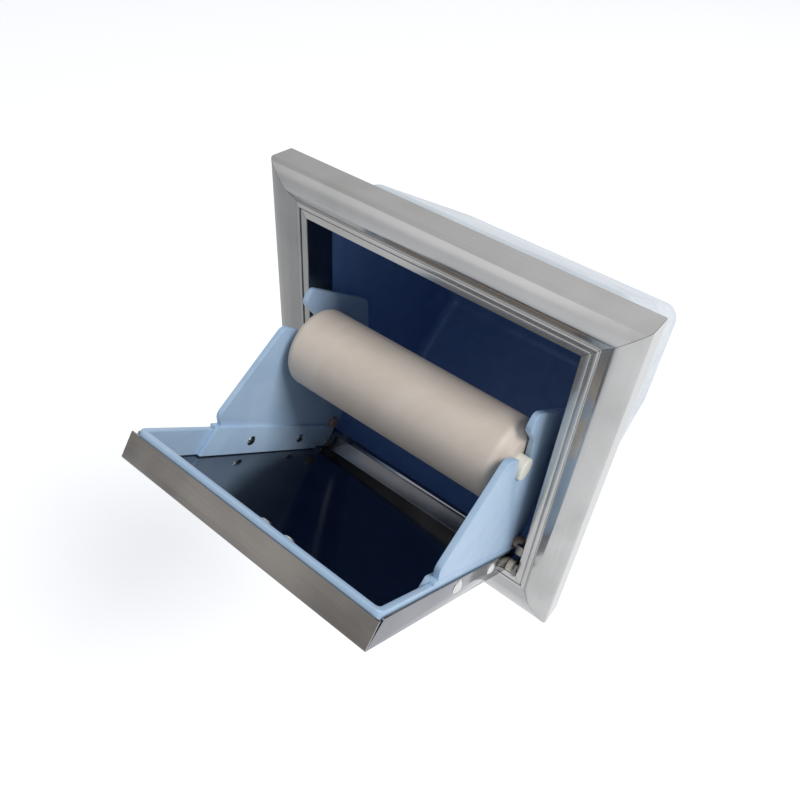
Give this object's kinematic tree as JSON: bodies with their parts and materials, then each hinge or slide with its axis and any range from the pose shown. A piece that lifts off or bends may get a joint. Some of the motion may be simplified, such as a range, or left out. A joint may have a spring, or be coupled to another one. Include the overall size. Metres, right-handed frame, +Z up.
{
  "type": "toilet paper holder",
  "caption": "Recessed toilet paper holder: steel frame, moulded wall box, tilt-out steel door with riveted plastic ears and a lift-out roller.",
  "frame": {"origin": "centre of the wall opening, on the face of the wall that the frame and the flange lie against", "axes": "+X across the holder to its right as seen from the room, +Y into the wall, +Z up"},
  "size_m": [0.18, 0.243, 0.185],
  "materials": {
    "blue_abs": "light blue ABS, satin to glossy mouldings",
    "frame_steel": "polished stainless steel with a faint grain",
    "door_steel": "stainless steel sheet with a soft reflecting face",
    "bracket_steel": "stainless steel, plain",
    "zinc_steel": "zinc-plated steel",
    "bright_steel": "bright polished steel",
    "natural_nylon": "natural nylon",
    "tan_nylon": "tan nylon",
    "axle_plastic": "off-white acetal",
    "cream_plastic": "warm cream plastic, matt"
  },
  "bodies": {
    "housing": {"recess_box": "blue_abs", "frame_top": "frame_steel", "frame_bottom": "frame_steel", "frame_left": "frame_steel", "frame_right": "frame_steel", "corner_keys": "zinc_steel", "frame_screws": "zinc_steel", "hinge_bracket_left": "bracket_steel", "hinge_bracket_right": "bracket_steel", "bracket_rivets": "bright_steel", "hinge_pin_left": "bright_steel", "hinge_pin_right": "bright_steel"},
    "door": {"door_panel": "door_steel", "door_liner": "blue_abs", "ear_left": "blue_abs", "ear_right": "blue_abs", "ear_rivets": "bright_steel", "liner_studs": "zinc_steel", "liner_washers": "bright_steel", "liner_nuts": "bright_steel", "hinge_bush_left": "natural_nylon", "hinge_bush_right": "natural_nylon", "stop_bush_left": "tan_nylon", "stop_bush_right": "tan_nylon"},
    "roller_axle": {"roller_axle": "axle_plastic"},
    "roller": {"roller_tube": "cream_plastic", "roller_cap_left": "cream_plastic", "roller_cap_right": "cream_plastic"}
  },
  "joints": [
    {"name": "door_hinge", "type": "hinge", "parent": "housing", "child": "door", "pos_m": [0, -0.0128, -0.0648], "axis": [1, 0, 0], "range_deg": [-54, 0]},
    {"name": "roller_lift", "type": "slide", "parent": "door", "child": "roller_axle", "axis": [0, 0, 1], "range_m": [0, 0.01]},
    {"name": "roller_spin", "type": "hinge", "parent": "roller_axle", "child": "roller", "pos_m": [0, -0.02281, 0.0133], "axis": [1, 0, 0], "continuous": true}
  ]
}
